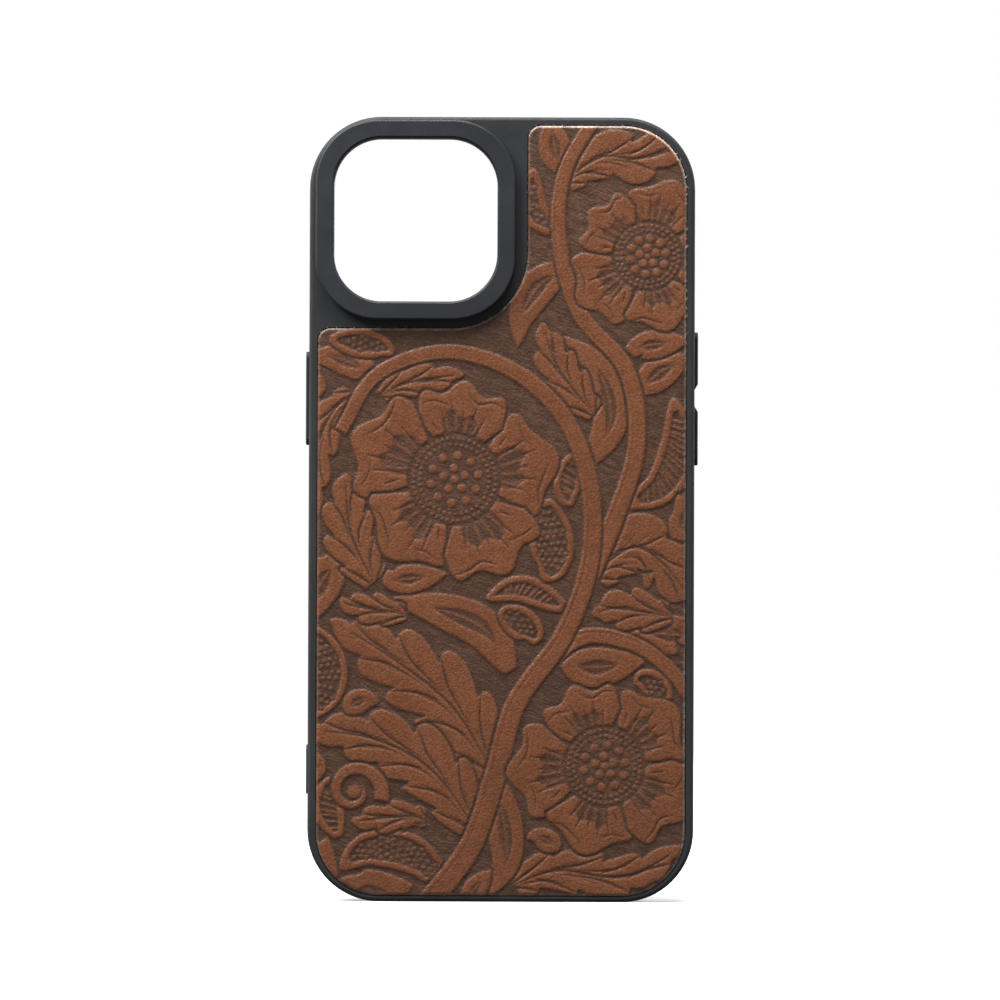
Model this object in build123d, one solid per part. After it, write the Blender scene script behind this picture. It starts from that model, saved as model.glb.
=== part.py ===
from build123d import *
import math
import os

# Phone case that stands on its bottom end: X across, Y through its thickness, Z up.
# The leather back faces -Y and the open side, where the phone's glass shows, faces +Y.
# The origin is under the middle of the whole case, at its bottom. All sizes are in mm.

# ---- the phone that the case is moulded for
PHONE_WIDTH = 71.5
PHONE_HEIGHT = 146.7
PHONE_DEPTH = 7.8
PHONE_CORNER = 11.9
PHONE_CLEARANCE = 0.1

# ---- bumper frame
SIDE_WALL = 1.2
END_WALL = 1.95
CORNER_WALL = 1.8
LIP_THICKNESS = 1.1
LIP_OVERHANG = 1.15
LIP_SOFTENING = 0.4
FRONT_EDGE_RADIUS = 0.9
BACK_EDGE_RADIUS = 0.75
BACK_FLANGE = 0.85

# ---- flat layers of the back, from the phone outwards
LINING_THICKNESS = 0.4
PLATE_THICKNESS = 1.2
ADHESIVE_THICKNESS = 0.1
LEATHER_THICKNESS = 1.0
PLATE_CLEARANCE = 0.05
LINING_CLEARANCE = 0.25
ADHESIVE_INSET = 0.6

# ---- leather panel's outline
LEATHER_INSET = 1.65
LEATHER_BOTTOM_INSET = 1.2
LEATHER_GAP = 0.15
LEATHER_GAP_BESIDE_RING = 2.35
LEATHER_GAP_BELOW_RING = 1.6
LEATHER_SHOULDER_RADIUS = 2.4
LEATHER_NOTCH_SOFTENING = 0.8
LEATHER_EDGE_RADIUS = 0.2

# ---- camera guard ring
CAMERA_OPENING = 31.4
CAMERA_CORNER_STEP = 2.7
RING_BAND = 3.5
RING_PROUD = 1.95
RING_SIDE_INSET = 1.2
RING_TOP_INSET = 0.75
RING_CORNER_STEP = 1.8
RING_EDGE_RADIUS = 0.4
RING_MOUTH_CHAMFER = 0.4
COLLAR_WALL = 1.2
COLLAR_SETBACK = 0.1
COLLAR_CLEARANCE = 0.05

# ---- side buttons: centres are measured down from the top of the phone
POWER_BELOW_TOP = 52.0
POWER_LENGTH = 18.0
VOLUME_UP_BELOW_TOP = 44.7
VOLUME_UP_LENGTH = 11.4
VOLUME_DOWN_BELOW_TOP = 58.9
VOLUME_DOWN_LENGTH = 11.6
BUTTON_WIDTH = 3.6
BUTTON_CORNER = 1.3
BUTTON_PROUD = 0.75
BUTTON_RAMP = 1.35
BUTTON_EDGE_RADIUS = 0.22
BUTTON_CLEARANCE = 0.12
BUTTON_FLANGE_MARGIN = 0.7
BUTTON_FLANGE_THICKNESS = 0.4
BUTTON_WALL_SKIN = 0.45
BUTTON_REST_GAP = 0.03

# ---- openings in the frame's walls, on the middle line of the phone's side
MUTE_BELOW_TOP = 30.2
MUTE_LENGTH = 10.4
MUTE_WIDTH = 5.6
PORT_LENGTH = 13.0
PORT_WIDTH = 6.4
PORT_WEB = 3.7
SPEAKER_WIDTH = 3.2
SPEAKER_CORNER_GAP = 1.05
MOUTH_CHAMFER = 0.45

# ---- cushion grooves inside each corner of the frame
GROOVE_RADIUS = 0.6
GROOVE_ANGLES = (22, 45, 68)

# ---- small moulded pad on the side wall, near the bottom
PAD_ABOVE_BOTTOM = 23.15
PAD_LENGTH = 9.5
PAD_WIDTH = 3.6
PAD_PROUD = 0.45
PAD_EDGE_RADIUS = 0.2

# ---- places that follow from the sizes above
CAVITY_WIDTH = PHONE_WIDTH + 2 * PHONE_CLEARANCE
CAVITY_HEIGHT = PHONE_HEIGHT + 2 * PHONE_CLEARANCE
CAVITY_DEPTH = PHONE_DEPTH + PHONE_CLEARANCE
CAVITY_CORNER = PHONE_CORNER + PHONE_CLEARANCE
CASE_WIDTH = CAVITY_WIDTH + 2 * SIDE_WALL
CASE_HEIGHT = CAVITY_HEIGHT + 2 * END_WALL
CASE_CORNER = CAVITY_CORNER + CORNER_WALL
BACK_THICKNESS = LINING_THICKNESS + PLATE_THICKNESS + BACK_FLANGE
CASE_DEPTH = LIP_THICKNESS + CAVITY_DEPTH + BACK_THICKNESS + RING_PROUD

Y_FRONT = CASE_DEPTH / 2
Y_GLASS = Y_FRONT - LIP_THICKNESS
Y_PHONE_BACK = Y_GLASS - CAVITY_DEPTH
Y_PLATE_INNER = Y_PHONE_BACK - LINING_THICKNESS
Y_PLATE_OUTER = Y_PLATE_INNER - PLATE_THICKNESS
Y_ADHESIVE = Y_PLATE_OUTER - ADHESIVE_THICKNESS
Y_LEATHER = Y_ADHESIVE - LEATHER_THICKNESS
Y_BORDER = Y_PLATE_OUTER - BACK_FLANGE
Y_RING = Y_BORDER - RING_PROUD
Y_SIDE_LINE = Y_GLASS - PHONE_DEPTH / 2

Z_MIDDLE = CASE_HEIGHT / 2
Z_PHONE_TOP = CASE_HEIGHT - END_WALL - PHONE_CLEARANCE
Z_PHONE_BOTTOM = END_WALL + PHONE_CLEARANCE

CAMERA_OPENING_CORNER = PHONE_CORNER - CAMERA_CORNER_STEP
RING_OUTER = CAMERA_OPENING + 2 * RING_BAND
RING_OUTER_CORNER = CASE_CORNER - RING_CORNER_STEP
CAMERA_X = -(CASE_WIDTH / 2 - RING_SIDE_INSET - RING_OUTER / 2)
CAMERA_Z = CASE_HEIGHT - RING_TOP_INSET - RING_OUTER / 2
COLLAR_OUTER = CAMERA_OPENING + 2 * COLLAR_WALL
COLLAR_CORNER = CAMERA_OPENING_CORNER + COLLAR_WALL

X_WALL_OUTER = CASE_WIDTH / 2
X_WALL_INNER = CAVITY_WIDTH / 2
X_POCKET_FLOOR = X_WALL_OUTER - BUTTON_WALL_SKIN
SPEAKER_INNER_END = PORT_LENGTH / 2 + PORT_WEB
SPEAKER_OUTER_END = CASE_WIDTH / 2 - CASE_CORNER - SPEAKER_CORNER_GAP
SPEAKER_LENGTH = SPEAKER_OUTER_END - SPEAKER_INNER_END
SPEAKER_X = (SPEAKER_INNER_END + SPEAKER_OUTER_END) / 2


def slab(outline, y_from, y_to):
    """A solid with an outline in X and Z, between two depths."""
    face = Plane((0, y_from, 0), x_dir=(1, 0, 0), z_dir=(0, -1, 0)) * outline
    return extrude(face, amount=y_to - y_from, dir=(0, 1, 0))


def case_outline(width, height, corner):
    """A rounded rectangle about the middle of the case."""
    return Pos(0, Z_MIDDLE) * RectangleRounded(width, height, corner)


def camera_outline(size, corner):
    """A rounded square about the camera's centre."""
    return Pos(CAMERA_X, CAMERA_Z) * RectangleRounded(size, size, corner)


def leather_outline(grow):
    """The leather's outline, with its notch round the camera ring, moved outwards by grow."""
    inset = LEATHER_INSET - grow
    side = CASE_WIDTH / 2 - inset
    low = LEATHER_BOTTOM_INSET - grow
    high = CASE_HEIGHT - inset
    notch_x = CAMERA_X + RING_OUTER / 2 + LEATHER_GAP_BESIDE_RING - grow
    notch_z = CAMERA_Z - RING_OUTER / 2 - LEATHER_GAP_BELOW_RING + grow
    corner = CASE_CORNER - inset
    shoulder = LEATHER_SHOULDER_RADIUS + grow
    ring_gap = (LEATHER_GAP_BESIDE_RING + LEATHER_GAP_BELOW_RING) / 2
    notch_corner = RING_OUTER_CORNER + ring_gap + LEATHER_NOTCH_SOFTENING - grow
    body = Pos(0, (low + high) / 2) * RectangleRounded(2 * side, high - low, corner)
    notch = Pos(-CASE_WIDTH / 2, CASE_HEIGHT) * Rectangle(
        2 * (notch_x + CASE_WIDTH / 2), 2 * (CASE_HEIGHT - notch_z)
    )
    sheet = body - notch
    inner = sheet.vertices().sort_by_distance((notch_x, notch_z))[0]
    sheet = fillet(inner, notch_corner)
    upper = sheet.vertices().sort_by_distance((notch_x, high))[0]
    sheet = fillet(upper, shoulder)
    left = sheet.vertices().sort_by_distance((-side, notch_z))[0]
    return fillet(left, shoulder)


def wall_prism(outline, x_from, x_to):
    """A solid with an outline in Y and Z, across a side wall."""
    face = Plane((x_from, 0, 0), x_dir=(0, 1, 0), z_dir=(1, 0, 0)) * outline
    return extrude(face, amount=x_to - x_from, dir=(1, 0, 0))


def side_outline(z, length, width, corner):
    """A rounded oblong on the middle line of the phone's side, with its length upright."""
    return Pos(Y_SIDE_LINE, z) * RectangleRounded(width, length, corner)


def side_span(side, near, far):
    """Two places across a side wall, from low X to high X; side is -1 or 1."""
    return sorted((side * near, side * far))


def bottom_cutter(x, length, width):
    """A slot through the bottom wall."""
    plane = Plane((x, Y_SIDE_LINE, -END_WALL), x_dir=(1, 0, 0), z_dir=(0, 0, 1))
    return extrude(plane * SlotOverall(length, width), amount=2 * END_WALL + PHONE_CLEARANCE)


def mute_cutter():
    """A slot through the +X wall, so that the phone's mute switch can be reached."""
    plane = Plane((X_WALL_OUTER + SIDE_WALL, 0, 0), x_dir=(0, 1, 0), z_dir=(-1, 0, 0))
    spot = Pos(Y_SIDE_LINE, MUTE_BELOW_TOP - Z_PHONE_TOP)
    slot = spot * SlotOverall(MUTE_LENGTH, MUTE_WIDTH, rotation=90)
    return extrude(plane * slot, amount=2 * SIDE_WALL + PHONE_CLEARANCE)


def flare_mouths(frame, outer_face):
    """Bevel the outer edge of every opening in one face of the frame."""
    edges = [edge for wire in outer_face.inner_wires() for edge in wire.edges()]
    return chamfer(edges, MOUTH_CHAMFER)


def button_cutter(side, z, length):
    """The slot that a button's cap slides in, and the pocket behind it for the flange."""
    gap = 2 * BUTTON_CLEARANCE
    margin = 2 * BUTTON_FLANGE_MARGIN + gap
    corner = BUTTON_CORNER + BUTTON_CLEARANCE
    slot = side_outline(z, length + gap, BUTTON_WIDTH + gap, corner)
    pocket = side_outline(
        z, length + margin, BUTTON_WIDTH + margin, corner + BUTTON_FLANGE_MARGIN
    )
    through = wall_prism(slot, *side_span(side, X_WALL_INNER, X_WALL_OUTER + BUTTON_PROUD))
    recess = wall_prism(
        pocket, *side_span(side, X_WALL_INNER - PHONE_CLEARANCE, X_POCKET_FLOOR)
    )
    return through + recess


def corner_grooves():
    """Round grooves along the cavity's four corner walls, which let the corners give."""
    arc_x = CAVITY_WIDTH / 2 - CAVITY_CORNER
    arc_z = CAVITY_HEIGHT / 2 - CAVITY_CORNER
    rods = []
    for side in (-1, 1):
        for end in (-1, 1):
            for angle in GROOVE_ANGLES:
                x = side * (arc_x + CAVITY_CORNER * math.cos(math.radians(angle)))
                z = Z_MIDDLE + end * (arc_z + CAVITY_CORNER * math.sin(math.radians(angle)))
                rods.append(slab(Pos(x, z) * Circle(GROOVE_RADIUS), Y_PHONE_BACK, Y_GLASS))
    return rods


def side_pad():
    """The low moulded pad on the -X wall."""
    z = Z_PHONE_BOTTOM + PAD_ABOVE_BOTTOM
    outline = side_outline(z, PAD_LENGTH, PAD_WIDTH, BUTTON_CORNER)
    root = X_WALL_OUTER - SIDE_WALL / 2
    pad = wall_prism(outline, *side_span(-1, root, X_WALL_OUTER + PAD_PROUD))
    return fillet(pad.faces().sort_by(Axis.X)[0].edges(), PAD_EDGE_RADIUS)


def bumper_frame():
    shell = slab(case_outline(CASE_WIDTH, CASE_HEIGHT, CASE_CORNER), Y_BORDER, Y_FRONT)
    shell = fillet(shell.faces().sort_by(Axis.Y)[0].edges(), BACK_EDGE_RADIUS)
    shell = fillet(shell.faces().sort_by(Axis.Y)[-1].edges(), FRONT_EDGE_RADIUS)
    shell += side_pad()
    cavity = slab(
        case_outline(CAVITY_WIDTH, CAVITY_HEIGHT, CAVITY_CORNER), Y_PLATE_OUTER, Y_GLASS
    )
    window = slab(
        case_outline(
            CAVITY_WIDTH - 2 * LIP_OVERHANG,
            CAVITY_HEIGHT - 2 * LIP_OVERHANG,
            CAVITY_CORNER - LIP_OVERHANG,
        ),
        Y_GLASS,
        Y_FRONT,
    )
    frame = shell - cavity - window
    rim = frame.faces().sort_by(Axis.Y)[-1].inner_wires()[0].edges()
    frame = fillet(rim, LIP_SOFTENING)
    frame -= slab(leather_outline(LEATHER_GAP), Y_BORDER, Y_PLATE_OUTER)
    collar_hole = camera_outline(
        COLLAR_OUTER + 2 * COLLAR_CLEARANCE, COLLAR_CORNER + COLLAR_CLEARANCE
    )
    frame -= slab(collar_hole, Y_BORDER, Y_PLATE_OUTER)
    frame -= mute_cutter()
    frame = flare_mouths(frame, frame.faces().sort_by(Axis.X)[-1])
    frame -= bottom_cutter(0, PORT_LENGTH, PORT_WIDTH)
    for x in (-SPEAKER_X, SPEAKER_X):
        frame -= bottom_cutter(x, SPEAKER_LENGTH, SPEAKER_WIDTH)
    frame = flare_mouths(frame, frame.faces().sort_by(Axis.Z)[0])
    for side, below_top, length, _ in BUTTONS.values():
        frame -= button_cutter(side, Z_PHONE_TOP - below_top, length)
    return frame - corner_grooves()


def back_plate():
    edge = 2 * PLATE_CLEARANCE
    outline = case_outline(
        CAVITY_WIDTH - edge, CAVITY_HEIGHT - edge, CAVITY_CORNER - PLATE_CLEARANCE
    )
    plate = slab(outline, Y_PLATE_OUTER, Y_PLATE_INNER)
    hole = camera_outline(
        COLLAR_OUTER + 2 * COLLAR_CLEARANCE, COLLAR_CORNER + COLLAR_CLEARANCE
    )
    return plate - slab(hole, Y_PLATE_OUTER, Y_PLATE_INNER)


def microfibre_lining():
    edge = 2 * LINING_CLEARANCE
    outline = case_outline(
        CAVITY_WIDTH - edge, CAVITY_HEIGHT - edge, CAVITY_CORNER - LINING_CLEARANCE
    )
    lining = slab(outline, Y_PLATE_INNER, Y_PHONE_BACK)
    hole = camera_outline(
        COLLAR_OUTER + 2 * LINING_CLEARANCE, COLLAR_CORNER + LINING_CLEARANCE
    )
    return lining - slab(hole, Y_PLATE_INNER, Y_PHONE_BACK)


def adhesive_film():
    return slab(leather_outline(-ADHESIVE_INSET), Y_ADHESIVE, Y_PLATE_OUTER)


def leather_panel():
    panel = slab(leather_outline(0), Y_LEATHER, Y_ADHESIVE)
    return fillet(panel.faces().sort_by(Axis.Y)[0].edges(), LEATHER_EDGE_RADIUS)


def camera_guard_ring():
    band = slab(camera_outline(RING_OUTER, RING_OUTER_CORNER), Y_RING, Y_BORDER)
    band = fillet(band.faces().sort_by(Axis.Y)[0].edges(), RING_EDGE_RADIUS)
    collar = slab(
        camera_outline(COLLAR_OUTER, COLLAR_CORNER), Y_BORDER, Y_PHONE_BACK - COLLAR_SETBACK
    )
    opening = slab(
        camera_outline(CAMERA_OPENING, CAMERA_OPENING_CORNER), Y_RING, Y_PHONE_BACK
    )
    ring = band + collar - opening
    mouth = ring.faces().sort_by(Axis.Y)[0].inner_wires()[0].edges()
    return chamfer(mouth, RING_MOUTH_CHAMFER)


def side_button(side, below_top, length, ramp_end):
    """A button cap on its retaining flange; ramp_end is -1 or 1 for a sloped low or high end."""
    z = Z_PHONE_TOP - below_top
    seat = X_POCKET_FLOOR - BUTTON_REST_GAP
    top = X_WALL_OUTER + BUTTON_PROUD
    cap = wall_prism(
        side_outline(z, length, BUTTON_WIDTH, BUTTON_CORNER), *side_span(side, seat, top)
    )
    outer_face = max(cap.faces(), key=lambda face: side * face.center().X)
    cap = fillet(outer_face.edges(), BUTTON_EDGE_RADIUS)
    margin = 2 * BUTTON_FLANGE_MARGIN
    flange = wall_prism(
        side_outline(
            z, length + margin, BUTTON_WIDTH + margin, BUTTON_CORNER + BUTTON_FLANGE_MARGIN
        ),
        *side_span(side, seat - BUTTON_FLANGE_THICKNESS, seat),
    )
    button = cap + flange
    if ramp_end:
        tip = z + ramp_end * length / 2
        wedge = Plane.XZ * make_face(
            Polyline(
                (side * X_WALL_OUTER, tip),
                (side * (top + BUTTON_PROUD), tip - 2 * ramp_end * BUTTON_RAMP),
                (side * (top + BUTTON_PROUD), tip),
                close=True,
            )
        )
        button -= Pos(0, Y_SIDE_LINE, 0) * extrude(wedge, BUTTON_WIDTH, both=True)
    return button


# name: side of the case, centre below the top of the phone, length, which end slopes
BUTTONS = {
    "power_button": (-1, POWER_BELOW_TOP, POWER_LENGTH, 0),
    "volume_up_button": (1, VOLUME_UP_BELOW_TOP, VOLUME_UP_LENGTH, -1),
    "volume_down_button": (1, VOLUME_DOWN_BELOW_TOP, VOLUME_DOWN_LENGTH, 1),
}

parts = {
    "bumper_frame": bumper_frame(),
    "back_plate": back_plate(),
    "microfibre_lining": microfibre_lining(),
    "adhesive_film": adhesive_film(),
    "leather_panel": leather_panel(),
    "camera_guard_ring": camera_guard_ring(),
}
for name, values in BUTTONS.items():
    parts[name] = side_button(*values)

os.makedirs("parts", exist_ok=True)
for name, solid in parts.items():
    export_step(solid, f"parts/{name}.step")
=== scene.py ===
import bpy
import math
import numpy as np
from mathutils import Matrix, Vector
from mathutils.geometry import delaunay_2d_cdt


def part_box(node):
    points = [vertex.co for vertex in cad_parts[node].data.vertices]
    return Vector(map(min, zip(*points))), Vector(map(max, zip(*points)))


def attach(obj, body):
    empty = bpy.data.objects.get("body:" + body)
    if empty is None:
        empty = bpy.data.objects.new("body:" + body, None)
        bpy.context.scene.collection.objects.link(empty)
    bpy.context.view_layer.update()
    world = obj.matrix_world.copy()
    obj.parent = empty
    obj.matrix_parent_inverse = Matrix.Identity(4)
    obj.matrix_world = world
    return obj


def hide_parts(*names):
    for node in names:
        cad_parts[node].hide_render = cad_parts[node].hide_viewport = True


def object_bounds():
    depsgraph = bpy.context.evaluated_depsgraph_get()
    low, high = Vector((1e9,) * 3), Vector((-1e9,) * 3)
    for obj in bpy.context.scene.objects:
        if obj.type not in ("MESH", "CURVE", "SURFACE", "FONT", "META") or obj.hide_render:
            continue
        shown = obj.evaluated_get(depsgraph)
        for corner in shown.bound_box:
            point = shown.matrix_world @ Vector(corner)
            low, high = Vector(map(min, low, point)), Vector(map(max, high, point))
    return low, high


# Phone case with a tooled leather back. Metres, +Z up, the leather back faces -Y.
# The tooling is drawn in millimetres across (x) and up (z) the panel: MM turns them into metres.
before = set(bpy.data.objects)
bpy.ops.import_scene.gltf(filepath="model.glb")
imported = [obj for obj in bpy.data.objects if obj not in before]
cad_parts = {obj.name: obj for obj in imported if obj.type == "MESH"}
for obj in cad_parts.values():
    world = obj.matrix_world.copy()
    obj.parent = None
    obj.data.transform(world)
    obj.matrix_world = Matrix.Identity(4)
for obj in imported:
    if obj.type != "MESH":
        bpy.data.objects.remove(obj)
cad_low, cad_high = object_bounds()
MM = 0.001

# ---- leather panel
TOOLING_PITCH = 0.18
TOOLING_DEPTH = 0.2
TOOLING_SOFTNESS = 0.6
PANEL_CORNER = 12.15
NOTCH_GAP_BESIDE = 2.35
NOTCH_GAP_BELOW = 1.6
NOTCH_CORNER = 14.775
SHOULDER = 2.4
FACE_INSET = 0.5
GRID_MARGIN = 0.12
HOLLOW_DARKENING_REACH = 3
HOLLOW_DARKENING_STRENGTH = 2.2
GROUND_LEVEL = 0.12
GROUND_DARKENING = 0.15
LONGEST_LEAF_REACH = 21
GAP_CELL = 3

# ---- raw cut edge: how pale it is everywhere, and painted light that makes it paler on the sides that face up (most near the top), right and down
BARE_EVERYWHERE = 0.12
PAINTED_LIGHT_UPWARD = 0.85
PAINTED_LIGHT_RIGHTWARD = 0.42
PAINTED_LIGHT_DOWNWARD = 0.3
EDGE_ROUNDING = 0.24
EDGE_RAGGEDNESS = 0.09
EDGE_DEPTH = 0.42
FIBRES = 130

# ---- microfibre lining
LINING_PITCH = 0.9
LINING_CORNER = 11.75
LINING_HOLE_MARGIN = 2.05
LINING_HOLE_CORNER = 10.65
LINING_ROLL = 0.16

# ---- studio
AMBIENT = 0.24
FLOOR_SIZE = 40
FLOOR_GLOW_NEAR = 0.42
FLOOR_GLOW_FAR = 0.9
FLOOR_GLOW_START = 0.1
FLOOR_GLOW_END = 1.4
FLOOR_TONE = 0.5
CAMERA_DISTANCE = 1.2
CAMERA_AZIMUTH = 0.3
CAMERA_ELEVATION = -1.3
CAMERA_ROLL = 0.211
CAMERA_LENS = 225.0
CAMERA_SENSOR = 36
AIM_ACROSS = -0.00027
AIM_ABOVE_MIDDLE = 0.0017

# Each lamp's name, place, size and power in watts.
LAMPS = (
    ("above", (0.0, -0.22, 0.8), (0.5, 0.3), 11.0),
    ("upper_left", (-0.45, -0.29, 0.62), (0.45, 0.35), 9.5),
    ("behind", (0.4, 1.2, 0.7), (1.0, 1.0), 9.0),
    ("side", (-1.2, 0.35, 0.4), (0.6, 1.0), 8.0),
    ("side", (1.2, 0.35, 0.4), (0.6, 1.0), 8.0),
)


# ==== small helpers for node materials

def material(name):
    made = bpy.data.materials.new(name)
    made.use_nodes = True
    return made, made.node_tree, made.node_tree.nodes["Principled BSDF"]


def noise(tree, scale, detail=3.0, roughness=0.55, stretch=(1, 1, 1), lean=0, distortion=0.0):
    """A noise in object space, so that it stays put on the piece. scale is in features per metre.

    The features are stretched along X, Y and Z, and lean by this many degrees in the panel's plane.
    """
    place = tree.nodes.new("ShaderNodeTexCoord")
    turn = tree.nodes.new("ShaderNodeMapping")
    turn.vector_type = "TEXTURE"
    turn.inputs["Rotation"].default_value = (0, math.radians(lean), 0)
    turn.inputs["Scale"].default_value = stretch
    made = tree.nodes.new("ShaderNodeTexNoise")
    made.inputs["Scale"].default_value = scale
    made.inputs["Detail"].default_value = detail
    made.inputs["Roughness"].default_value = roughness
    made.inputs["Distortion"].default_value = distortion
    tree.links.new(place.outputs["Object"], turn.inputs["Vector"])
    tree.links.new(turn.outputs["Vector"], made.inputs["Vector"])
    return made.outputs["Fac"]


def pebbles(tree, scale):
    """Rounded grains with creases between them: 1 on top of a grain and 0 in a crease."""
    place = tree.nodes.new("ShaderNodeTexCoord")
    made = tree.nodes.new("ShaderNodeTexVoronoi")
    made.inputs["Scale"].default_value = scale
    tree.links.new(place.outputs["Object"], made.inputs["Vector"])
    return remap(tree, made.outputs["Distance"], 0.15, 0.75, 1, 0)


def attribute(tree, name):
    made = tree.nodes.new("ShaderNodeAttribute")
    made.attribute_name = name
    return made.outputs["Fac"]


def remap(tree, value, low, high, to_low=0.0, to_high=1.0):
    made = tree.nodes.new("ShaderNodeMapRange")
    for socket, number in zip(("From Min", "From Max", "To Min", "To Max"), (low, high, to_low, to_high)):
        made.inputs[socket].default_value = number
    tree.links.new(value, made.inputs["Value"])
    return made.outputs["Result"]


def blended(tree, share, first, second, how="MIX"):
    """A mix of two colours, each a colour or a socket. share is a socket or a number."""
    made = tree.nodes.new("ShaderNodeMix")
    made.data_type = "RGBA"
    made.blend_type = how
    ends = {socket.identifier: socket for socket in made.inputs}
    chosen = ((ends["Factor_Float"], share), (ends["A_Color"], first), (ends["B_Color"], second))
    for socket, given in chosen:
        if isinstance(given, bpy.types.NodeSocket):
            tree.links.new(given, socket)
        else:
            socket.default_value = given
    return next(socket for socket in made.outputs if socket.identifier == "Result_Color")


def bumped(tree, shader, layers):
    """Adds each (height socket, strength, depth in metres) as bump, one over the other."""
    normal = None
    for height, strength, depth in layers:
        made = tree.nodes.new("ShaderNodeBump")
        made.inputs["Strength"].default_value = strength
        made.inputs["Distance"].default_value = depth
        tree.links.new(height, made.inputs["Height"])
        if normal is not None:
            tree.links.new(normal, made.inputs["Normal"])
        normal = made.outputs["Normal"]
    tree.links.new(normal, shader.inputs["Normal"])


def srgb(red, green, blue):
    """A colour given as 8-bit sRGB, as the linear colour that shaders take."""
    def linear(c):
        c = c / 255
        return c / 12.92 if c <= 0.04045 else ((c + 0.055) / 1.055) ** 2.4
    return (linear(red), linear(green), linear(blue), 1.0)


# ==== materials

def moulded_plastic(name, dark, light, roughness, grain=2600, depth=0.00002, specular=0.5):
    """Moulded TPU or polycarbonate: fine matte grain with slightly uneven gloss."""
    made, tree, shader = material(name)
    tone = noise(tree, 90, detail=4)
    tree.links.new(blended(tree, remap(tree, tone, 0.3, 0.7), dark, light), shader.inputs["Base Color"])
    wear = noise(tree, 260, detail=5)
    gloss = remap(tree, wear, 0.3, 0.7, roughness - 0.05, roughness + 0.06)
    tree.links.new(gloss, shader.inputs["Roughness"])
    shader.inputs["Specular IOR Level"].default_value = specular
    bumped(tree, shader, [(pebbles(tree, grain), 0.35, depth), (noise(tree, 700), 0.2, 0.00003)])
    return made


def microfibre():
    """Short brushed nap."""
    made, tree, shader = material("microfibre_lining_nap")
    brushed = noise(tree, 60, detail=4, roughness=0.6, stretch=(1, 1, 2), lean=18, distortion=0.8)
    nap = noise(tree, 2400, detail=5, roughness=0.7, stretch=(1, 1, 1.8), lean=18)
    colour = blended(tree, remap(tree, nap, 0.3, 0.7), srgb(40, 40, 43), srgb(62, 62, 66))
    colour = blended(tree, remap(tree, brushed, 0.35, 0.65, 0, 0.5), colour, srgb(72, 72, 76))
    tree.links.new(colour, shader.inputs["Base Color"])
    shader.inputs["Roughness"].default_value = 0.95
    shader.inputs["Sheen Weight"].default_value = 0.5
    shader.inputs["Sheen Roughness"].default_value = 0.4
    bumped(tree, shader, [(nap, 0.7, 0.00008), (brushed, 0.3, 0.0001)])
    return made


def adhesive():
    made, tree, shader = material("adhesive_film_dull")
    tone = noise(tree, 300)
    tree.links.new(blended(tree, tone, srgb(58, 56, 54), srgb(74, 72, 69)), shader.inputs["Base Color"])
    shader.inputs["Roughness"].default_value = 0.6
    bumped(tree, shader, [(noise(tree, 1500), 0.2, 0.00002)])
    return made


def tooled_leather():
    """Brown leather: pebbled and mottled, hatched and darker in its beaten ground, pale where it was cut,
    with painted light making the cut edge paler on the sides that face up, right and down.
    """
    made, tree, shader = material("tooled_leather_brown")
    lift, darkening, raw_edge_and_painted_light = (attribute(tree, name) for name in ("lift", "darkening", "raw_edge_and_painted_light"))
    patches = remap(tree, noise(tree, 55, detail=5, roughness=0.6), 0.36, 0.64)
    mottle = remap(tree, noise(tree, 420, detail=6, roughness=0.62), 0.32, 0.68)
    fine = noise(tree, 2600, detail=4, roughness=0.7)
    hatch = noise(tree, 1300, detail=4, roughness=0.6, stretch=(3.4, 1, 0.9), lean=24, distortion=0.7)
    pebble = pebbles(tree, 2200)
    face = blended(tree, patches, srgb(112, 65, 40), srgb(124, 74, 46))
    face = blended(tree, remap(tree, mottle, 0, 1, 0, 0.5), face, srgb(134, 84, 54))
    ground = blended(tree, remap(tree, hatch, 0.38, 0.62), srgb(74, 50, 38), srgb(106, 75, 57))
    ground = blended(tree, remap(tree, patches, 0, 1, 0, 0.6), ground, srgb(68, 46, 35))
    colour = blended(tree, remap(tree, lift, 0.25, 0.8), ground, face)
    # darker where the surface lies below its surroundings and on the low ground
    colour = blended(tree, remap(tree, darkening, 0, 1, 0, 0.5), colour, srgb(54, 37, 30))
    crease = remap(tree, pebble, 0, 0.6, 0.35, 0)
    colour = blended(tree, crease, colour, srgb(70, 46, 34))
    speckle = blended(tree, remap(tree, fine, 0.3, 0.7), srgb(196, 196, 196), srgb(255, 255, 255))
    colour = blended(tree, 0.8, colour, speckle, how="MULTIPLY")
    # pale cut edge colour; its share is partly the raw edge's own paleness and partly painted light on the
    # sides that face up, right and down
    cut_edge = blended(tree, remap(tree, fine, 0.35, 0.65), srgb(186, 160, 142), srgb(228, 212, 200))
    fuzz = remap(tree, noise(tree, 700, detail=4), 0.3, 0.6, 0.35, 1.0)
    pale = tree.nodes.new("ShaderNodeMath")
    pale.operation = "MULTIPLY"
    tree.links.new(raw_edge_and_painted_light, pale.inputs[0])
    tree.links.new(fuzz, pale.inputs[1])
    tree.links.new(blended(tree, pale.outputs[0], colour, cut_edge), shader.inputs["Base Color"])
    polish = remap(tree, mottle, 0, 1, 0.33, 0.45)
    tree.links.new(polish, shader.inputs["Roughness"])
    shader.inputs["Specular IOR Level"].default_value = 0.36
    rough_ground = blended(tree, lift, hatch, (0.5, 0.5, 0.5, 1))
    grain = [(pebble, 0.6, 0.00006), (fine, 0.6, 0.00004)]
    bumped(tree, shader, grain + [(rough_ground, 0.8, 0.00016), (mottle, 0.3, 0.00006)])
    return made


def raw_fibre():
    made, tree, shader = material("raw_leather_fibre")
    tone = remap(tree, noise(tree, 900), 0.3, 0.7)
    colour = blended(tree, tone, srgb(176, 148, 128), srgb(226, 210, 196))
    tree.links.new(colour, shader.inputs["Base Color"])
    shader.inputs["Roughness"].default_value = 0.85
    return made


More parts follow.
